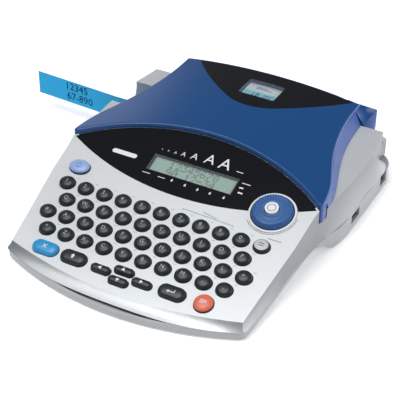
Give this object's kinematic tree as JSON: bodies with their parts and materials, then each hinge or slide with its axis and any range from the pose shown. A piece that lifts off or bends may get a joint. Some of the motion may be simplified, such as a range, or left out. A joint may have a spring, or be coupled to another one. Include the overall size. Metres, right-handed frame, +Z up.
{
  "type": "label maker",
  "caption": "Desktop label printer with a sloping keyboard, a display, a selector dial and a hinged lid over the tape cassette; a label leaves through a notch at the left.",
  "frame": {"origin": "on the desk under the middle of the body, at the height of the feet's soles", "axes": "+X to the user's right, +Y away from the user, +Z up"},
  "size_m": [0.266, 0.2285, 0.0522],
  "materials": {
    "silver_plastic": "satin silver, fine speckle",
    "grey_plastic": "satin grey",
    "blue_plastic": "deep blue, gloss",
    "black_plastic": "black, gloss",
    "window_clear": "clear plastic",
    "lens_clear": "clear plastic",
    "lcd": "grey green liquid crystal",
    "dark_keys": "charcoal, satin",
    "silver_key": "light grey, satin",
    "cyan_key": "cyan, satin",
    "pale_blue_key": "pale blue, satin",
    "orange_key": "orange red, satin",
    "dial_blue": "blue, satin",
    "white_plastic": "white, satin",
    "label_blue": "blue film",
    "cassette_plastic": "light grey, satin",
    "cassette_print": "white and cyan paper",
    "tape_film": "wound film",
    "ribbon_film": "wound ink film",
    "dark_plastic": "dark, matt",
    "rubber_black": "matt",
    "rubber_grey": "matt",
    "steel": "bright",
    "plated_steel": "plated",
    "aluminium_part": "as drawn",
    "cell_jacket": "printed jacket",
    "circuit_board": "green solder mask",
    "gear_plastic": "natural acetal",
    "ceramic": "glazed ceramic"
  },
  "bodies": {
    "casing": {"top_casing": "silver_plastic", "base_casing": "grey_plastic", "display_panel": "black_plastic", "display_lens": "lens_clear", "lcd_module": "lcd", "keyboard_board": "circuit_board", "key_mat": "rubber_grey", "main_board": "circuit_board", "dial_ring": "white_plastic", "dial_encoder": "dark_plastic", "rubber_feet": "rubber_black", "casing_screws": "steel", "battery_cells": "cell_jacket", "battery_contacts": "plated_steel", "interface_port": "dark_plastic", "power_jack": "dark_plastic", "cassette_bay": "dark_plastic", "cassette_shell": "cassette_plastic", "cassette_label": "cassette_print", "tape_web": "label_blue", "label_strip": "label_blue", "print_head": "ceramic", "head_heat_sink": "aluminium_part", "feed_motor": "plated_steel", "mechanism_plate": "plated_steel", "exit_guide": "dark_plastic", "fixed_blade": "steel", "cutter_actuator": "dark_plastic"},
    "lid_body": {"lid": "blue_plastic", "lid_inlay": "black_plastic", "lid_window": "window_clear", "hinge_pins": "steel"},
    "door_body": {"battery_door": "grey_plastic"},
    "dial_body": {"dial_knob": "dial_blue"},
    "dial_button_body": {"dial_button": "white_plastic"},
    "motor_rotor": {"motor_shaft": "steel", "motor_pinion": "gear_plastic"},
    "idler_body": {"idler_gear": "gear_plastic"},
    "platen_body": {"platen_roller": "rubber_black", "platen_shaft": "steel", "platen_gear": "gear_plastic"},
    "tape_spool_body": {"tape_spool": "tape_film"},
    "ribbon_spool_body": {"ribbon_spool": "ribbon_film"},
    "cutter_body": {"cutter_blade": "steel"},
    "keys_row_1_body": {"keys_row_1": "dark_keys"},
    "keys_row_2_body": {"keys_row_2": "dark_keys"},
    "keys_row_3_body": {"keys_row_3": "dark_keys"},
    "keys_row_4_body": {"keys_row_4": "dark_keys"},
    "function_key_body": {"function_key": "silver_key"},
    "power_key_body": {"power_key": "pale_blue_key"},
    "cancel_key_body": {"cancel_key": "cyan_key"},
    "shift_key_body": {"shift_key": "dark_keys"},
    "arrow_left_key_body": {"arrow_left_key": "dark_keys"},
    "arrow_up_key_body": {"arrow_up_key": "dark_keys"},
    "arrow_down_key_body": {"arrow_down_key": "dark_keys"},
    "arrow_right_key_body": {"arrow_right_key": "dark_keys"},
    "return_key_body": {"return_key": "dark_keys"},
    "print_key_body": {"print_key": "orange_key"}
  },
  "joints": [
    {"name": "lid_hinge", "type": "hinge", "parent": "casing", "child": "lid_body", "pos_m": [0, 0.107, 0.031], "axis": [-1, 0, 0], "range_deg": [0, 85]},
    {"name": "battery_door_hinge", "type": "hinge", "parent": "casing", "child": "door_body", "pos_m": [0, -0.0255, 0.0028], "axis": [-1, 0, 0], "range_deg": [0, 75]},
    {"name": "dial_turn", "type": "hinge", "parent": "casing", "child": "dial_body", "pos_m": [0.0634, -0.02017, 0.036], "axis": [0, -0.309, 0.9511], "continuous": true},
    {"name": "dial_button_press", "type": "slide", "parent": "dial_body", "child": "dial_button_body", "axis": [0, 0.309, -0.9511], "range_m": [0, 0.0012], "stiffness_N_per_m": 400},
    {"name": "tape_spool_turn", "type": "hinge", "parent": "casing", "child": "tape_spool_body", "pos_m": [0.019, 0.08745, 0.022], "axis": [0, 0, 1], "continuous": true},
    {"name": "ribbon_spool_turn", "type": "hinge", "parent": "casing", "child": "ribbon_spool_body", "pos_m": [-0.017, 0.08745, 0.022], "axis": [0, 0, 1], "continuous": true},
    {"name": "motor_turn", "type": "hinge", "parent": "casing", "child": "motor_rotor", "pos_m": [-0.00922, 0.046, 0.005], "axis": [0, 0, 1], "continuous": true},
    {"name": "idler_turn", "type": "hinge", "parent": "casing", "child": "idler_body", "pos_m": [-0.02134, 0.046, 0.005], "axis": [0, 0, 1], "continuous": true},
    {"name": "platen_turn", "type": "hinge", "parent": "casing", "child": "platen_body", "pos_m": [-0.032, 0.05495, 0.005], "axis": [0, 0, 1], "continuous": true},
    {"name": "cutter_slide", "type": "slide", "parent": "casing", "child": "cutter_body", "axis": [0, 1, 0], "range_m": [0, 0.005], "stiffness_N_per_m": 200},
    {"name": "keys_row_1_press", "type": "slide", "parent": "casing", "child": "keys_row_1_body", "axis": [0, 0.309, -0.9511], "range_m": [0, 0.0012], "stiffness_N_per_m": 3000},
    {"name": "keys_row_2_press", "type": "slide", "parent": "casing", "child": "keys_row_2_body", "axis": [0, 0.309, -0.9511], "range_m": [0, 0.0012], "stiffness_N_per_m": 3000},
    {"name": "keys_row_3_press", "type": "slide", "parent": "casing", "child": "keys_row_3_body", "axis": [0, 0.309, -0.9511], "range_m": [0, 0.0012], "stiffness_N_per_m": 3000},
    {"name": "keys_row_4_press", "type": "slide", "parent": "casing", "child": "keys_row_4_body", "axis": [0, 0.309, -0.9511], "range_m": [0, 0.0012], "stiffness_N_per_m": 3000},
    {"name": "function_key_press", "type": "slide", "parent": "casing", "child": "function_key_body", "axis": [0, 0.309, -0.9511], "range_m": [0, 0.0012], "stiffness_N_per_m": 400},
    {"name": "power_key_press", "type": "slide", "parent": "casing", "child": "power_key_body", "axis": [0, 0.309, -0.9511], "range_m": [0, 0.0012], "stiffness_N_per_m": 400},
    {"name": "cancel_key_press", "type": "slide", "parent": "casing", "child": "cancel_key_body", "axis": [0, 0.309, -0.9511], "range_m": [0, 0.0012], "stiffness_N_per_m": 400},
    {"name": "shift_key_press", "type": "slide", "parent": "casing", "child": "shift_key_body", "axis": [0, 0.309, -0.9511], "range_m": [0, 0.0012], "stiffness_N_per_m": 400},
    {"name": "arrow_left_key_press", "type": "slide", "parent": "casing", "child": "arrow_left_key_body", "axis": [0, 0.309, -0.9511], "range_m": [0, 0.0012], "stiffness_N_per_m": 400},
    {"name": "arrow_up_key_press", "type": "slide", "parent": "casing", "child": "arrow_up_key_body", "axis": [0, 0.309, -0.9511], "range_m": [0, 0.0012], "stiffness_N_per_m": 400},
    {"name": "arrow_down_key_press", "type": "slide", "parent": "casing", "child": "arrow_down_key_body", "axis": [0, 0.309, -0.9511], "range_m": [0, 0.0012], "stiffness_N_per_m": 400},
    {"name": "arrow_right_key_press", "type": "slide", "parent": "casing", "child": "arrow_right_key_body", "axis": [0, 0.309, -0.9511], "range_m": [0, 0.0012], "stiffness_N_per_m": 400},
    {"name": "return_key_press", "type": "slide", "parent": "casing", "child": "return_key_body", "axis": [0, 0.309, -0.9511], "range_m": [0, 0.0012], "stiffness_N_per_m": 400},
    {"name": "print_key_press", "type": "slide", "parent": "casing", "child": "print_key_body", "axis": [0, 0.309, -0.9511], "range_m": [0, 0.0012], "stiffness_N_per_m": 400}
  ],
  "couplings": [
    {"joint": "motor_turn", "follows": "tape_spool_turn", "ratio": -6.2},
    {"joint": "idler_turn", "follows": "tape_spool_turn", "ratio": 2.0667},
    {"joint": "platen_turn", "follows": "tape_spool_turn", "ratio": -3.875},
    {"joint": "ribbon_spool_turn", "follows": "tape_spool_turn", "ratio": -1.6316}
  ]
}
